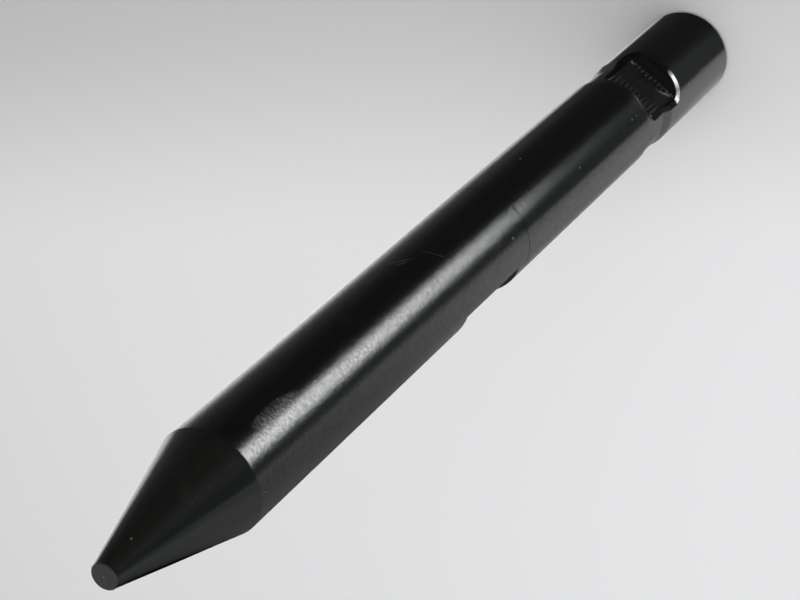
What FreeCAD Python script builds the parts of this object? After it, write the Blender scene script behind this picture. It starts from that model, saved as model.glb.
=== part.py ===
import FreeCAD, Part
import math
import os

import Sketcher

# Moil-point chisel for a hydraulic breaker: one forged and turned steel bar.
# It stands on its striking end at Z = 0 with the point up, its axis on the Z axis, its retainer slot facing -Y.
# Sizes in millimetres. The flat and the fine line are placed from the point, the neck and the slot from
# the striking end, because a longer chisel of this kind keeps its shank.
# Angles go round the bar from the slot's middle towards -X.

SIZES = [
    ("overall_length", 600.0),
    ("body_diameter", 53.0),
    ("shank_diameter", 53.6),
    # blunt point
    ("cone_length", 75.0),
    ("tip_diameter", 13.0),
    ("tip_edge", 0.5),
    # turned neck between body and shank, with a sharp shoulder to the body and a gentle rise to the shank
    ("shank_length", 87.0),
    ("neck_diameter", 50.7),
    ("neck_length", 32.5),
    ("neck_shoulder", 1.2),
    ("neck_rise", 10.0),
    # fine line where two turning passes meet
    ("line_position", 328.5),
    ("line_width", 0.9),
    ("line_depth", 0.2),
    # striking end
    ("end_radius", 3.0),
    # retainer slot, milled straight across the bar with rounded ends
    ("slot_past_neck", 7.7),
    ("slot_floor_height", 18.0),
    ("slot_floor_length", 27.9),
    ("slot_end_radius", 6.0),
    ("slot_edge_bevel", 1.7),
    # shallow flat ground low on the side
    ("flat_angle", 95.0),
    ("flat_depth", 1.9),
    ("flat_start", 262.0),
    ("flat_length", 57.0),
    ("flat_entry", 0.8),
    ("flat_exit", 0.8),
    # seam of the turned surface, on the side away from the slot
    ("seam_angle", 180.0),
    # how far a cutting outline reaches past the bar
    ("cutter_clearance", 10.0),
]
PLACES = [
    ("neck_end", "overall_length - shank_length"),
    ("neck_start", "neck_end - neck_length"),
    ("slot_floor_end", "neck_end + slot_past_neck"),
    ("slot_floor_start", "slot_floor_end - slot_floor_length"),
    ("flat_end", "flat_start + flat_length"),
]

doc = FreeCAD.newDocument("breaker_chisel")

sheet = doc.addObject("Spreadsheet::Sheet", "Sizes")
for row, (alias, content) in enumerate(SIZES + PLACES, start=1):
    sheet.set("A%d" % row, alias)
    sheet.set("B%d" % row, "=" + str(content))
    sheet.setAlias("B%d" % row, alias)
doc.recompute()

body = doc.addObject("PartDesign::Body", "Chisel")
body.Label = "chisel"
# The body's own x axis runs down the bar from the point, and its z axis points out of the slot.
DOWN, ACROSS, FRONT = FreeCAD.Vector(0, 0, -1), FreeCAD.Vector(1, 0, 0), FreeCAD.Vector(0, -1, 0)
body.Placement = FreeCAD.Placement(FreeCAD.Vector(), FreeCAD.Rotation(DOWN, ACROSS, FRONT, "XYZ"))
body.setExpression("Placement.Base.z", "Sizes.overall_length")


def value_of(formula):
    return float(body.evalExpression(formula))


def side_sketch(name, angle=None):
    # Plane through the bar's axis, turned round it by a named angle: x along the bar, y out of it.
    sketch = body.newObject("Sketcher::SketchObject", name)
    plane = next(item for item in body.Origin.OriginFeatures if item.Role == "XZ_Plane")
    sketch.AttachmentSupport = [(plane, "")]
    sketch.MapMode = "FlatFace"
    if angle:
        turn = FreeCAD.Rotation(FreeCAD.Vector(1, 0, 0), value_of(angle))
        sketch.AttachmentOffset = FreeCAD.Placement(FreeCAD.Vector(), turn)
        sketch.setExpression("AttachmentOffset.Rotation.Angle", angle + " * 1 deg")
    return sketch


def tie(sketch, kind, formula, *geometry):
    # A dimension of the sketch that follows a formula on the sheet.
    index = sketch.addConstraint(Sketcher.Constraint(kind, *geometry, value_of(formula)))
    sketch.setExpression("Constraints[%d]" % index, formula)


def draw_outline(sketch, corners):
    # Closed outline of straight lines. A corner is two formulas: along the bar, and out from its axis.
    # None keeps the corner on the sketch's own axis.
    points = [FreeCAD.Vector(*(value_of(formula) if formula else 0 for formula in corner)) for corner in corners]
    for index, point in enumerate(points):
        sketch.addGeometry(Part.LineSegment(point, points[(index + 1) % len(points)]), False)
    for index, (along, out) in enumerate(corners):
        sketch.addConstraint(Sketcher.Constraint("Coincident", index, 1, (index - 1) % len(corners), 2))
        for kind, formula, axis in (("DistanceX", along, -2), ("DistanceY", out, -1)):
            if formula:
                tie(sketch, kind, formula, -1, 1, index, 1)
            else:
                sketch.addConstraint(Sketcher.Constraint("PointOnObject", index, 1, axis))


def turn(kind, name, sketch):
    # Revolution or Groove: the outline swept once round the bar's axis.
    feature = body.newObject("PartDesign::" + kind, name)
    feature.Profile = (sketch, [""])
    feature.ReferenceAxis = (sketch, ["H_Axis"])
    feature.Angle = 360
    doc.recompute()
    return feature


def cut_across(name, sketch):
    # The outline run straight through the bar, from one side to the other.
    pocket = body.newObject("PartDesign::Pocket", name)
    pocket.Profile = (sketch, [""])
    pocket.SideType = "Symmetric"
    pocket.setExpression("Length", "max(Sizes.body_diameter; Sizes.shank_diameter) + Sizes.cutter_clearance")
    doc.recompute()
    return pocket


def edge_names(shape, wanted):
    return ["Edge%d" % index for index, edge in enumerate(shape.Edges, start=1) if wanted(edge)]


def turn_bar():
    # The whole bar as it leaves the lathe, apart from the rounding of its striking end.
    sketch = side_sketch("BarOutline", "Sizes.seam_angle")
    draw_outline(sketch, [
        (None, None),
        (None, "Sizes.tip_diameter / 2 - Sizes.tip_edge"),
        ("Sizes.tip_edge", "Sizes.tip_diameter / 2"),
        ("Sizes.cone_length", "Sizes.body_diameter / 2"),
        ("Sizes.neck_start", "Sizes.body_diameter / 2"),
        ("Sizes.neck_start + Sizes.neck_shoulder", "Sizes.neck_diameter / 2"),
        ("Sizes.neck_end - Sizes.neck_rise", "Sizes.neck_diameter / 2"),
        ("Sizes.neck_end", "Sizes.shank_diameter / 2"),
        ("Sizes.overall_length", "Sizes.shank_diameter / 2"),
        ("Sizes.overall_length", None),
    ])
    return turn("Revolution", "TurnedBar", sketch)


def turn_pass_line():
    sketch = side_sketch("PassLineOutline")
    before = "Sizes.line_position - Sizes.line_width / 2"
    after = "Sizes.line_position + Sizes.line_width / 2"
    surface = "Sizes.body_diameter / 2"
    draw_outline(sketch, [
        (before, surface + " + Sizes.cutter_clearance"),
        (before, surface),
        ("Sizes.line_position", surface + " - Sizes.line_depth"),
        (after, surface),
        (after, surface + " + Sizes.cutter_clearance"),
    ])
    return turn("Groove", "PassLine", sketch)


def round_striking_end(turned):
    far_end = value_of("Sizes.overall_length")
    rounding = body.newObject("PartDesign::Fillet", "StrikingEnd")
    rounding.Base = (turned, edge_names(turned.Shape, lambda edge: abs(edge.BoundBox.XMin - far_end) < 1e-6))
    rounding.setExpression("Radius", "Sizes.end_radius")
    doc.recompute()
    return rounding


def mill_slot():
    # Flat floor that runs up at both ends in an arc, so that the retaining pin seats there.
    sketch = side_sketch("SlotOutline")
    floor = value_of("Sizes.slot_floor_height")
    start = value_of("Sizes.slot_floor_start")
    end = value_of("Sizes.slot_floor_end")
    radius = value_of("Sizes.slot_end_radius")
    arc_top = floor + radius
    top = arc_top + value_of("Sizes.cutter_clearance")
    normal = FreeCAD.Vector(0, 0, 1)
    far_circle = Part.Circle(FreeCAD.Vector(end, arc_top), normal, radius)
    near_circle = Part.Circle(FreeCAD.Vector(start, arc_top), normal, radius)
    far, near = end + radius, start - radius
    sketch.addGeometry([
        Part.LineSegment(FreeCAD.Vector(start, floor), FreeCAD.Vector(end, floor)),
        Part.ArcOfCircle(far_circle, -math.pi / 2, 0),
        Part.LineSegment(FreeCAD.Vector(far, arc_top), FreeCAD.Vector(far, top)),
        Part.LineSegment(FreeCAD.Vector(far, top), FreeCAD.Vector(near, top)),
        Part.LineSegment(FreeCAD.Vector(near, top), FreeCAD.Vector(near, arc_top)),
        Part.ArcOfCircle(near_circle, math.pi, math.pi * 1.5),
    ], False)
    floor_line, far_arc, far_wall, top_line, near_wall, near_arc = range(6)
    for joint in (("Tangent", floor_line, 2, far_arc, 1), ("Tangent", far_arc, 2, far_wall, 1),
                  ("Coincident", far_wall, 2, top_line, 1), ("Coincident", top_line, 2, near_wall, 1),
                  ("Tangent", near_wall, 2, near_arc, 1), ("Tangent", near_arc, 2, floor_line, 1),
                  ("Horizontal", floor_line), ("Horizontal", top_line),
                  ("Vertical", far_wall), ("Vertical", near_wall), ("Equal", far_arc, near_arc)):
        sketch.addConstraint(Sketcher.Constraint(*joint))
    tie(sketch, "Radius", "Sizes.slot_end_radius", far_arc)
    tie(sketch, "DistanceX", "Sizes.slot_floor_start", -1, 1, floor_line, 1)
    tie(sketch, "DistanceX", "Sizes.slot_floor_end", -1, 1, floor_line, 2)
    tie(sketch, "DistanceY", "Sizes.slot_floor_height", -1, 1, floor_line, 1)
    tie(sketch, "DistanceY", "Sizes.slot_floor_height + Sizes.slot_end_radius + Sizes.cutter_clearance",
        -1, 1, top_line, 1)
    return cut_across("RetainerSlot", sketch)


def is_slot_face(face):
    # The slot's own faces are the only ones near it that aren't turned round the bar's axis.
    near = value_of("Sizes.slot_floor_start - Sizes.slot_end_radius")
    far = value_of("Sizes.slot_floor_end + Sizes.slot_end_radius")
    if not near < face.CenterOfMass.x < far:
        return False
    return isinstance(face.Surface, (Part.Plane, Part.Cylinder)) and abs(face.Surface.Axis.x) < 1e-6


def dress_slot_edge(slotted):
    # Hand-dressed bevel all round the slot's mouth, where its faces meet the turned surface.
    slot_faces = [face for face in slotted.Shape.Faces if is_slot_face(face)]
    shared = [edge for face in slot_faces for edge in face.Edges]

    def on_rim(edge):
        return sum(edge.isSame(other) for other in shared) == 1

    bevel = body.newObject("PartDesign::Chamfer", "SlotDressing")
    bevel.Base = (slotted, edge_names(slotted.Shape, on_rim))
    bevel.setExpression("Size", "Sizes.slot_edge_bevel")
    doc.recompute()
    return bevel


def grind_flat():
    sketch = side_sketch("FlatOutline", "Sizes.flat_angle")
    surface = "Sizes.body_diameter / 2"
    draw_outline(sketch, [
        ("Sizes.flat_start", surface + " + Sizes.cutter_clearance"),
        ("Sizes.flat_start", surface),
        ("Sizes.flat_start + Sizes.flat_entry", surface + " - Sizes.flat_depth"),
        ("Sizes.flat_end - Sizes.flat_exit", surface + " - Sizes.flat_depth"),
        ("Sizes.flat_end", surface),
        ("Sizes.flat_end", surface + " + Sizes.cutter_clearance"),
    ])
    return cut_across("GroundFlat", sketch)


def check_cut(before, after):
    # Every cut has to leave less metal than there was.
    if after.Shape.Volume >= before.Shape.Volume:
        raise RuntimeError(after.Label + " removes nothing")


bar = turn_bar()
lined = turn_pass_line()
rounded = round_striking_end(lined)
ground = grind_flat()
slotted = mill_slot()
dressed = dress_slot_edge(slotted)
steps = [bar, lined, rounded, ground, slotted, dressed]
for before, after in zip(steps, steps[1:]):
    check_cut(before, after)
body.Tip = steps[-1]
doc.recompute()

for item in doc.Objects:
    if "Invalid" in item.State or "Error" in item.State:
        raise RuntimeError(item.Label + " failed: " + ", ".join(item.State))
if body.Shape.isNull() or not body.Shape.isValid() or len(body.Shape.Solids) != 1:
    raise RuntimeError(body.Label + " isn't one valid solid")

os.makedirs("parts", exist_ok=True)
body.Shape.exportStep("parts/%s.step" % body.Label)
box = body.Shape.optimalBoundingBox(True, False)
print("%s: %.1f cm3, box %.2f x %.2f x %.2f mm, lowest %.3f"
      % (body.Label, body.Shape.Volume / 1000, box.XLength, box.YLength, box.ZLength, box.ZMin))
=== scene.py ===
import math

import bpy
from mathutils import Matrix, Vector

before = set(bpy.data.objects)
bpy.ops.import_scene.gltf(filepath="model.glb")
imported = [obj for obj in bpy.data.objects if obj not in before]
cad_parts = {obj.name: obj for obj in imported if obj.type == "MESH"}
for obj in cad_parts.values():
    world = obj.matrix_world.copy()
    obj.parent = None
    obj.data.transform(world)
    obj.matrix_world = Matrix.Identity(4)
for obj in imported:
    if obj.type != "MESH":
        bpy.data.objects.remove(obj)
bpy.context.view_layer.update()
scene = bpy.context.scene
print("frame loaded")


class Sock:
    # a shader socket that can be used in plain Python sums
    def __init__(self, shader, out):
        self.shader, self.out = shader, out

    def math(self, operation, *values):
        return self.shader.math(operation, *values)

    def __add__(self, other):
        return self.math("ADD", self, other)

    def __radd__(self, other):
        return self.math("ADD", other, self)

    def __sub__(self, other):
        return self.math("SUBTRACT", self, other)

    def __rsub__(self, other):
        return self.math("SUBTRACT", other, self)

    def __mul__(self, other):
        return self.math("MULTIPLY", self, other)

    def __rmul__(self, other):
        return self.math("MULTIPLY", other, self)

    def __truediv__(self, other):
        return self.math("DIVIDE", self, other)

    def __pow__(self, other):
        return self.math("POWER", self, other)

    def __abs__(self):
        return self.math("ABSOLUTE", self)


class Shader:
    # builds one node material
    def __init__(self, name):
        self.material = bpy.data.materials.new(name)
        self.material.use_nodes = True
        self.tree = self.material.node_tree
        self.tree.nodes.clear()

    def put(self, made, key, value):
        if isinstance(value, Sock):
            self.tree.links.new(value.out, made.inputs[key])
        else:
            made.inputs[key].default_value = value

    def node(self, kind, settings, *values, out=0, **named):
        # settings first, then the sockets in order, then sockets by name with _ for a space
        made = self.tree.nodes.new(kind)
        for key, value in settings.items():
            setattr(made, key, value)
        for key, value in enumerate(values):
            self.put(made, key, value)
        for key, value in named.items():
            self.put(made, key.replace("_", " "), value)
        return Sock(self, made.outputs[out])

    def math(self, operation, *values):
        return self.node("ShaderNodeMath", {"operation": operation}, *values)

    def step(self, value, low, high):
        # 0 below low, 1 above high, smooth between them
        return self.node("ShaderNodeMapRange", {"interpolation_type": "SMOOTHSTEP"}, value, low, high, 0.0, 1.0)

    def fade(self, value, high, low):
        # 1 below high, 0 above low, smooth between them
        return self.node("ShaderNodeMapRange", {"interpolation_type": "SMOOTHSTEP"}, value, high, low, 1.0, 0.0)

    def split(self, vector):
        made = self.node("ShaderNodeSeparateXYZ", {}, vector).out.node
        return [Sock(self, made.outputs[i]) for i in range(3)]

    def mix(self, factor, first, second):
        made = self.node("ShaderNodeMix", {"data_type": "RGBA"}, factor).out.node
        self.put(made, 6, first)
        self.put(made, 7, second)
        return Sock(self, made.outputs[2])

    def finish(self, surface):
        output = self.tree.nodes.new("ShaderNodeOutputMaterial")
        self.tree.links.new(surface.out, output.inputs["Surface"])
        return self.material


# camera, at the photograph's viewing angle: near the point, looking down the standing chisel
camera = {
    "place": (-0.08737, -0.66078, 1.12851),
    "right": (-0.73667, -0.46931, -0.48688),
    "up": (0.67033, -0.60179, -0.43417),
    "back": (-0.08924, -0.64622, 0.75792),
    "lens": 95.118,
}
lensData = bpy.data.cameras.new("photoCamera")
lensData.lens = camera["lens"]
lensData.clip_end = 50
photoCamera = bpy.data.objects.new("photoCamera", lensData)
turned = Matrix((camera["right"], camera["up"], camera["back"])).transposed().to_4x4()
photoCamera.matrix_world = Matrix.Translation(camera["place"]) @ turned
scene.collection.objects.link(photoCamera)
scene.camera = photoCamera
scene.view_settings.view_transform = "Standard"
print("camera set")


# stage: pale floor, a lamp for it, and glowing cards that only the bar's reflections see
floorLook = {
    "size": 8.0,
    "colour": (0.80, 0.80, 0.81, 1),
    # painted shade: the floor's colour darkens to this towards the far side
    "farShadeColour": (0.55, 0.55, 0.55, 1),  # towards the top of the photograph
    "farWay": (0.67, -0.60),
    "farStart": (-0.12, 0.08),
    "rough": 0.9,
}
bpy.ops.object.select_all(action="DESELECT")
bpy.ops.mesh.primitive_plane_add(size=floorLook["size"], location=(0, 0, 0))
floor = bpy.context.object
floor.name = "floor"
paint = Shader("floorPaintAndShade")
x, y, _ = paint.split(paint.node("ShaderNodeTexCoord", {}, out="Object"))
# painted shade, growing towards the far side of the floor
away = paint.step(floorLook["farWay"][0] * x + floorLook["farWay"][1] * y, *floorLook["farStart"])
floorColour = paint.mix(away, floorLook["colour"], floorLook["farShadeColour"])
floor.data.materials.append(paint.finish(paint.node(
    "ShaderNodeBsdfPrincipled", {}, Base_Color=floorColour, Roughness=floorLook["rough"], Specular_IOR_Level=0.0)))
floor.visible_glossy = False
floor.visible_shadow = False


def glowCard(name, look, glow, seeThrough=True):
    # a card whose local X runs down the bar and whose local Y runs across it
    bpy.ops.object.select_all(action="DESELECT")
    bpy.ops.mesh.primitive_plane_add(size=1)
    made = bpy.context.object
    made.name = name
    made.data.transform(Matrix.Diagonal((look["size"][0], look["size"][1], 1, 1)))
    down, side = Vector((0, 0, -1)), Vector(look["across"]).normalized()
    turned = Matrix((down, side, down.cross(side))).transposed().to_4x4()
    made.matrix_world = Matrix.Translation(look["centre"]) @ turned
    shader = Shader(name)
    x, y, _ = shader.split(shader.node("ShaderNodeTexCoord", {}, out="Object"))
    strength = glow(shader, look, x, y)
    tint = shader.node("ShaderNodeVectorMath", {"operation": "SCALE"}, look["colour"], Scale=strength)
    light = shader.node("ShaderNodeBsdfPrincipled", {}, Base_Color=(0, 0, 0, 1), Roughness=1.0,
                        Specular_IOR_Level=0.0, Emission_Color=tint, Emission_Strength=1.0)
    if seeThrough:
        light = shader.node("ShaderNodeAddShader", {}, shader.node("ShaderNodeBsdfTransparent", {}), light)
    made.data.materials.append(shader.finish(light))
    for flag in ("visible_camera", "visible_diffuse", "visible_shadow", "visible_transmission"):
        setattr(made, flag, False)


# the white sheet under the real bar; along is local X, off is the distance from the bar's own line
sheetLook = {
    "centre": (-0.0144, 0.0226, 0.3),
    "across": (0.84339, 0.5373, 0),
    "size": (3.0, 3.0),
    "colour": (1, 1, 1),
    "sides": (0.005, -0.005),
    "rightLevel": 0.60,
    "rightRise": 0.28,
    "riseAlong": (-0.15, 0.1),
    "riseOff": (0.03, 0.07),
    "contactLoss": 0.75,
    "contactAlong": (-0.12, 0.10),
    "contactOff": 0.02,
    "contactReach": 0.035,
    "middleLoss": 0.35,
    "middleStart": (-0.05, 0.08),
    "middleEnd": (0.22, 0.32),
    "middleOff": (0.026, 0.042),
    "distantLoss": 0.85,
    "distantAlong": (0.2, 0.5),
    "distantOff": (0.12, 0.24),
    "coneLoss": 0.8,
    "coneAlong": (-0.20, -0.12),
    "coneOff": (0.04, 0.35),
    "leftLevel": 1.47,
    "leftDrop": 0.66,
    "leftDropAlong": (0.0, 0.2),
    "leftRise": 0.25,
    "leftRiseAlong": (0.28, 0.38),
    "leftEnd": (0.34, 0.60),
    "leftLeast": 0.04,
}


# the sheet's glow is painted with shadow: darker near the bar's line as a painted contact shadow, and darker in
# bands along the bar as painted shade
def sheetGlow(shader, look, x, y):
    right = shader.step(y, *look["sides"])
    off = abs(y)
    shade = shader.math("EXPONENT", (look["contactOff"] - off) / look["contactReach"])
    contact = 1 - look["contactLoss"] * shader.fade(x, *look["contactAlong"]) * shade
    middle = 1 - (look["middleLoss"] * shader.step(x, *look["middleStart"]) * shader.fade(x, *look["middleEnd"])
                  * shader.fade(off, *look["middleOff"]))
    distant = 1 - (look["distantLoss"] * shader.step(x, *look["distantAlong"])
                   * shader.step(off, *look["distantOff"]))
    cone = 1 - look["coneLoss"] * shader.fade(x, *look["coneAlong"]) * shader.step(off, *look["coneOff"])
    rise = look["rightRise"] * shader.step(x, *look["riseAlong"]) * shader.step(off, *look["riseOff"])
    rightGlow = (look["rightLevel"] + rise) * contact * middle * distant * cone
    leftGlow = (look["leftLevel"] - look["leftDrop"] * shader.step(x, *look["leftDropAlong"])
                + look["leftRise"] * shader.step(x, *look["leftRiseAlong"])) * shader.fade(x, *look["leftEnd"])
    return right * rightGlow + (1 - right) * (leftGlow + look["leftLeast"])


# the window that makes the bright band, and the blue light round its edges
windowLook = {
    "centre": (-0.897, -2.862, -3.13),
    "across": (0.954, -0.299, 0),
    "size": (3.15, 2.2),
    "colour": (1, 0.985, 0.95),
    "level": 23.0,
    "top": (-1.55, -1.40),
    "bottom": (-0.66, 0.18),
    "sides": (0.38, 1.02),
}
fringeLook = {
    "centre": (-0.9, -2.87, -3.13),
    "across": (0.954, -0.299, 0),
    "size": (3.3, 3.6),
    "colour": (0.42, 0.78, 1),
    "level": 1.1,
    "top": (-1.55, -1.35),
    "bottom": (-0.3, 0.6),
    "sides": (0.7, 1.7),
}


def windowGlow(shader, look, x, y):
    upright = shader.step(x, *look["top"]) * shader.fade(x, *look["bottom"])
    return look["level"] * upright * shader.fade(abs(y), *look["sides"])


# light for the bevel at the slot's far end
slotLook = {
    "centre": (-1.55, -1.35, 1.45),
    "across": (0.764, -0.645, 0),
    "size": (1.9, 3.0),
    "colour": (1, 1, 1),
    "level": 2.6,
    "ends": (0.5, 0.95),
    "sides": (1.0, 1.5),
}


def slotGlow(shader, look, x, y):
    return look["level"] * shader.fade(abs(x), *look["ends"]) * shader.fade(abs(y), *look["sides"])


# dim walls of the room
nearWallLook = {
    "centre": (-2.163, -2.358, -3.0),
    "across": (0.737, -0.676, 0),
    "size": (6.0, 5.0),
    "colour": (0.80, 1, 1),
    "level": 0.14,
    "top": (-2.6, -1.4),
    "side": (-2.4, -0.9),
}
farWallLook = {
    "centre": (2.928, 0.648, -3.0),
    "across": (0.216, -0.976, 0),
    "size": (7.0, 7.0),
    "colour": (1, 1, 1),
    "level": 0.12,
    "side": (-1.0, 1.6),
    "dimLevel": 0.04,
    "dimSide": (1.6, 3.4),
    "bottom": (0.6, 1.8),
}


def nearWallGlow(shader, look, x, y):
    return look["level"] * shader.step(x, *look["top"]) * shader.step(y, *look["side"])


def farWallGlow(shader, look, x, y):
    level = look["level"] * shader.fade(y, *look["side"]) + look["dimLevel"] * shader.fade(y, *look["dimSide"])
    return level * shader.fade(x, *look["bottom"])


glowCard("whiteSheet", sheetLook, sheetGlow, seeThrough=False)
glowCard("windowCard", windowLook, windowGlow)
glowCard("fringeCard", fringeLook, windowGlow)
glowCard("slotCard", slotLook, slotGlow)
glowCard("nearWall", nearWallLook, nearWallGlow)
glowCard("farWall", farWallLook, farWallGlow)

lampLook = {
    "place": (-0.45, -0.35, 2.6),
    "aim": (-0.1, 0.3, 0),
    "size": (3.0, 3.0),
    "power": 98,
    "colour": (0.99, 0.995, 1),
}
light = bpy.data.lights.new("topLamp", "AREA")
light.shape = "RECTANGLE"
light.size, light.size_y = lampLook["size"]
light.energy = lampLook["power"]
light.color = lampLook["colour"]
lamp = bpy.data.objects.new("topLamp", light)
lamp.location = lampLook["place"]
lamp.rotation_euler = (Vector(lampLook["aim"]) - Vector(lampLook["place"])).to_track_quat("-Z", "Y").to_euler()
lamp.visible_camera = False
lamp.visible_glossy = False
scene.collection.objects.link(lamp)

roomColour = (0.052, 0.05, 0.047, 1)
world = bpy.data.worlds.new("room")
world.use_nodes = True
world.node_tree.nodes["Background"].inputs[0].default_value = roomColour
scene.world = world
print("stage set")


# chisel: black finish on turned steel, worn a little; lengths in mm, places along the bar from the point
bar = {
    "black": (0.004, 0.004, 0.0043, 1),
    "coneBlack": (0.0062, 0.0078, 0.0072, 1),
    # painted reflection: a warm streak down the cone
    "warmReflectionTint": (0.014, 0.0095, 0.003, 1),
    # painted sheen: a purple-grey speckle on the cone
    "paintedSheenTint": (0.017, 0.0145, 0.020, 1),
    "tipGrey": (0.0105, 0.0105, 0.0115, 1),
    # painted shade: near-black where the slot's chamfers would be shaded
    "ledgePaintedShade": (0.0035, 0.003, 0.0037, 1),
    "bareSteel": (0.58, 0.58, 0.57, 1),
    "wornEdge": (0.06, 0.06, 0.063, 1),
    "scuffGrey": (0.20, 0.20, 0.19, 1),
    "milledFloor": (0.0085, 0.0105, 0.0095, 1),
    # milled colour of the slot's walls, darkened as painted shade
    "milledWallShaded": (0.0055, 0.0045, 0.005, 1),
    # painted highlight: bluish glints on the cutter scallops
    "beadHighlightBlue": (0.060, 0.075, 0.105, 1),
    # painted highlight on the scallops near the slot's near edge, and pale streaks on the slot floor
    "strokeMarksAndHighlights": (0.042, 0.045, 0.043, 1),
    "dust": (0.045, 0.046, 0.045, 1),
    "pinholeBlack": (0, 0, 0, 1),
    "length": 600.0,
    "bodyRadius": 26.5,
    "neckRadius": 25.35,
    "shankRise": 1.45,
    "riseEnds": (503.0, 513.0),
    "coneEnd": (74.7, 75.1),
    "tipEnd": (0.02, 0.3),
    "tipEdgeEnd": (0.3, 0.9),
    "tipEdgeRing": (5.7, 6.3),
    "tipCentre": (0.3, 0.7),
    "neckStart": (480.7, 481.5),
    "shankStart": (509.0, 514.0),
    "smootherFrom": (240.0, 400.0),
    "slotDepth": (0.13, 0.20),  # below the turned surface
    "slotStart": (482.4, 482.8),
    "slotEnd": (540.0, 541.0),
    "slotFront": (8.0, 9.0),
    "floorPlace": -18.0,
    "floorBand": (0.1, 0.3),
    "ledgeSide": (15.6, 16.4),
    "nearLedgeEnd": (488.2, 489.2),
    "bevelDepth": (1.45, 1.65),
    "bevelStart": (520.0, 522.0),
    "bevelSide": (3.0, 9.5),
    "scallopPitch": 3.0,
    "scallop": (0.25, 0.95),
    "root": 520.5,
    "rootBand": (0.5, 3.2),
    "nearBandStart": (488.5, 491.0),
    "nearBandEnd": (498.0, 505.0),
    "bandSides": (15.0, 16.2),
    "streakRate": 2.6,
    "streakRise": (0.2, 0.95),
    "streakSide": (8.5, 11.0),
    "nearLine": 490.0,
    "nearLineBand": (0.2, 1.1),
    "rightCorner": (10.0, 14.5),
    "rightCornerEnd": (16.2, 16.8),
    "leftCorner": (10.0, 13.0),
    "leftCornerEnd": (16.0, 16.6),
    "sideLine": (15.7, 492.0),
    "farCorner": (14.6, 520.6),
    "bodyRough": 0.15,
    "coneRough": 0.19,
    "neckRough": 0.20,
    "shankRough": 0.17,
    "slotRough": 0.15,
    "bevelRough": 0.2,
    "patchRough": 0.06,
    "smootherRough": 0.02,
    "smudgeRough": 0.05,
    "tipRough": 0.3,
    "wearRough": 0.25,
    "speckRough": 0.5,
    "ior": 1.5,
    "bumpHeight": 0.00014,
}
steel = Shader("blackSteel")
place = steel.node("ShaderNodeTexCoord", {}, out="Object")
inMm = steel.node("ShaderNodeVectorMath", {"operation": "SCALE"}, place, Scale=1000.0)
x, y, z = steel.split(inMm)
along = bar["length"] - z
radius = (x * x + y * y) ** 0.5
around = steel.math("ARCTAN2", -1 * x, -1 * y)  # from the slot's middle
aroundDegrees = around * math.degrees(1)


def noise(stretch, scale=1.0, detail=2.0, rough=0.5):
    # noise on coordinates stretched along the bar
    vector = steel.node("ShaderNodeVectorMath", {"operation": "MULTIPLY"}, inMm, stretch)
    return steel.node("ShaderNodeTexNoise", {}, Vector=vector, Scale=scale, Detail=detail, Roughness=rough)


def spot(centre, degrees, halfLength, halfWidth, slant=0.0, strength=1.0):
    # an oval mark on the turned surface, slant in mm across for each mm along
    lengthwise = (along - centre) / halfLength
    across = around * bar["bodyRadius"] - math.radians(degrees) * bar["bodyRadius"]
    sideways = (across - (along - centre) * slant) / halfWidth
    return steel.fade(lengthwise * lengthwise + sideways * sideways, 0.4, 1.3) * strength


def spots(rows):
    total = spot(*rows[0])
    for row in rows[1:]:
        total = total + spot(*row)
    return total


# zones of the bar
cone = steel.fade(along, *bar["coneEnd"])
tip = steel.fade(along, *bar["tipEnd"])
tipEdge = steel.fade(along, *bar["tipEdgeEnd"]) * steel.step(radius, *bar["tipEdgeRing"])
tipCentre = tip * steel.fade(radius, *bar["tipCentre"])
neck = steel.step(along, *bar["neckStart"]) * steel.fade(along, *bar["riseEnds"])
shank = steel.step(along, *bar["shankStart"])
smoother = steel.step(along, *bar["smootherFrom"])  # towards the slot
rise = steel.node("ShaderNodeMapRange", {}, along, *bar["riseEnds"], 0.0, 1.0)
depth = bar["neckRadius"] + bar["shankRise"] * rise - radius
cut = (steel.step(depth, *bar["slotDepth"]) * steel.step(along, *bar["slotStart"])
       * steel.fade(along, *bar["slotEnd"]) * steel.step(-1 * y, *bar["slotFront"]))
slotFloor = cut * steel.fade(abs(y - bar["floorPlace"]), *bar["floorBand"])
slotWall = cut - slotFloor
ledge = cut * steel.step(abs(x), *bar["ledgeSide"])
nearLedge = cut * steel.fade(along, *bar["nearLedgeEnd"])
farBevel = (cut * steel.fade(depth, *bar["bevelDepth"]) * steel.step(along, *bar["bevelStart"])
            * steel.step(-1 * x, *bar["bevelSide"]))

# turned and painted surface
passes = noise((0.13, 0.13, 0.75), detail=3.0, rough=0.6)
grain = noise((0.40, 0.40, 1.1), detail=3.0, rough=0.7)
patches = noise((0.05, 0.05, 0.02), detail=4.0, rough=0.6)
smudges = steel.step(noise((0.09, 0.09, 0.035), detail=5.0, rough=0.7), 0.56, 0.74)
scratchLines = steel.step(noise((0.55, 0.55, 0.03), detail=3.0, rough=0.7), 0.66, 0.72)
pits = (steel.step(noise((0.40, 0.40, 0.9), scale=1.3, detail=2.0, rough=0.6), 0.44, 0.66)
        * (1 - cut) * (1 - shank) * (1 - cone))

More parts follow.
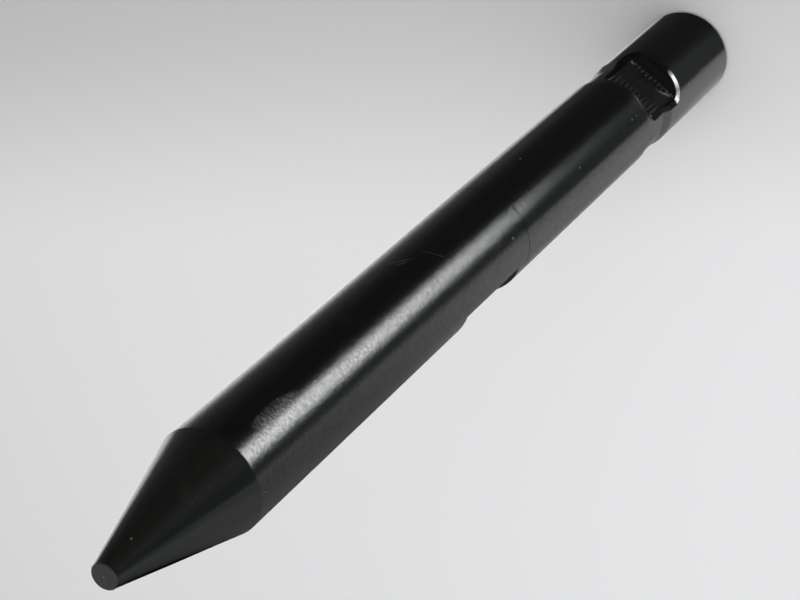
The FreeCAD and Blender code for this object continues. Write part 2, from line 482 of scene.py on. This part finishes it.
# marks that the photograph shows: place along, degrees around, half length, half width, slant, strength
scuffStreaks = noise((0.45, 0.45, 1.7), detail=3.0, rough=0.7) + (patches - 0.5) * 0.6
scuff = spot(107, -2.0, 17.0, 3.6, 0.02) * steel.step(scuffStreaks, 0.36, 0.80)
marks = spot(586, -30.0, 2.2, 5.0) * smudges + spots((
    (241, -35.5, 6.0, 0.8, 0.75),
    (240, -30.0, 4.0, 0.6, 0.4),
    (258, -15.0, 3.0, 0.5, 1.8),
    (570, -54.0, 2.0, 5.0, 0.0, 0.4),
))
paleSpecks = spots((
    (369.5, -32.5, 0.9, 0.6),
    (396.5, 23.5, 1.1, 0.5),
    (465.5, 23.5, 1.2, 0.5),
    (471.5, 23.5, 1.0, 0.5),
    (15.5, -15.5, 0.6, 1.1),
    (540, 40, 0.8, 0.5),
))
darkSpecks = spots((
    (303.5, 38.5, 1.2, 0.7),
    (314, 31.5, 1.0, 0.6),
    (77.5, 50.5, 1.0, 0.6),
))

# slot: cutter scallops across the bar, carrying painted highlights, worn corners
ridge = steel.math("SINE", x * (math.tau / bar["scallopPitch"])) * 0.5 + 0.5
bandSides = steel.fade(abs(x), *bar["bandSides"])
rootBand = steel.fade(abs(along - bar["root"]), *bar["rootBand"]) * bandSides
nearBand = steel.step(along, *bar["nearBandStart"]) * steel.fade(along, *bar["nearBandEnd"]) * bandSides
scallops = cut * steel.step(ridge, *bar["scallop"])
streaks = (slotFloor * steel.step(steel.math("SINE", x * bar["streakRate"]), *bar["streakRise"])
           * steel.step(-1 * x, *bar["streakSide"]))
nearLine = steel.fade(abs(along - bar["nearLine"]), *bar["nearLineBand"])
nearCorners = (steel.step(x, *bar["rightCorner"]) * steel.fade(x, *bar["rightCornerEnd"])
               + steel.step(-1 * x, *bar["leftCorner"]) * steel.fade(-1 * x, *bar["leftCornerEnd"]))
sideLine = (steel.fade(abs(x - bar["sideLine"][0]), 0.1, 0.5)
            * steel.fade(abs(along - bar["sideLine"][1]), 2.0, 6.0))
farCorner = (steel.fade(abs(along - bar["farCorner"][1]), 0.3, 1.1)
             * steel.fade(abs(x - bar["farCorner"][0]), 0.3, 1.4))
corners = cut * (nearLine * nearCorners + sideLine * 0.35 + farCorner)

# colours, laid over each other
# painted reflection: a warm streak down the cone, slanting along it
warmReflectionBand = steel.fade(abs(aroundDegrees + 9.0 + 0.05 * along), 0.0, 13.0) * steel.step(patches, 0.25, 0.75)
# painted sheen: a speckled purple-grey band on the cone beside the warm streak
paintedSheenBand = (steel.fade(abs(aroundDegrees - 11.0), 2.0, 15.0) * steel.step(along, 8.0, 45.0)
             * steel.step(noise((0.7, 0.7, 1.6)), 0.3, 0.8))
layers = (
    (smudges * 0.12 + scratchLines * 0.06 + neck * 0.12, "dust"),
    (slotFloor, "milledFloor"),
    # the slot's walls, darker than its floor as painted shade
    (slotWall, "milledWallShaded"),
    # painted highlight: bluish glints on the scallops at the slot's far root
    (scallops * rootBand * steel.step(grain, 0.36, 0.60) * 0.8, "beadHighlightBlue"),
    # painted highlight on the scallops near the slot's near edge, and pale streaks on the slot floor
    (scallops * nearBand * 0.8 + streaks * 0.4, "strokeMarksAndHighlights"),
    # painted shade along the slot's side and near ledges, standing for their chamfers
    (steel.math("MAXIMUM", ledge, nearLedge), "ledgePaintedShade"),
    (corners, "scuffGrey"),
    (farBevel, "bareSteel"),
    (tip, "tipGrey"),
    (tipEdge * 0.35 + tipCentre * 0.8, "wornEdge"),
    (scuff * 0.62 + marks * 0.14 + paleSpecks * 0.5, "scuffGrey"),
    (darkSpecks, "pinholeBlack"),
)
coneColour = steel.mix(warmReflectionBand * 0.75, bar["coneBlack"], bar["warmReflectionTint"])
coneColour = steel.mix(paintedSheenBand, coneColour, bar["paintedSheenTint"])
colour = steel.mix(cone, bar["black"], coneColour)
for factor, name in layers:
    colour = steel.mix(factor, colour, bar[name])

# gloss: the body and the slot are smoothest; the tip face, the scuff and the dark specks are dull
rough = (bar["bodyRough"] + cone * (bar["coneRough"] - bar["bodyRough"])
         + neck * (bar["neckRough"] - bar["bodyRough"]) + shank * (bar["shankRough"] - bar["bodyRough"]))
rough = (rough * (1 - cut) + cut * bar["slotRough"] + farBevel * bar["bevelRough"]
         + (patches - 0.5) * bar["patchRough"] - smoother * bar["smootherRough"]
         + smudges * bar["smudgeRough"] + tip * bar["tipRough"] + (scuff + marks) * bar["wearRough"]
         + darkSpecks * bar["speckRough"])

# relief: turning marks, fainter where the bar is smoother
turning = (passes * 0.2 + grain) * (1 - cut) * (1 - shank * 0.85) * (1 - cone * 0.6) * (1 - smoother * 0.6)
relief = turning + scuff * 0.3 - darkSpecks + cut * ridge * (rootBand + nearBand) * 0.12
bump = steel.node("ShaderNodeBump", {}, Strength=1.0, Distance=bar["bumpHeight"], Height=relief)
gloss = steel.node("ShaderNodeBsdfPrincipled", {}, Base_Color=colour, Metallic=farBevel, Roughness=rough,
                   IOR=bar["ior"], Normal=bump)
# matt shader, mixed in where the finish is pitted, milled or worn
matt = steel.node("ShaderNodeBsdfPrincipled", {}, Base_Color=colour, Roughness=1.0,
                  Specular_IOR_Level=0.0, Diffuse_Roughness=1.0)
mattShare = pits * 0.26 + nearLedge * 0.8 + ledge * 0.5 + cut * rootBand * 0.6 + tip * 0.55
surface = steel.node("ShaderNodeMixShader", {}, mattShare, gloss, matt)

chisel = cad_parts["chisel"]
chisel.data.materials.clear()
chisel.data.materials.append(steel.finish(surface))
print("chisel finished")
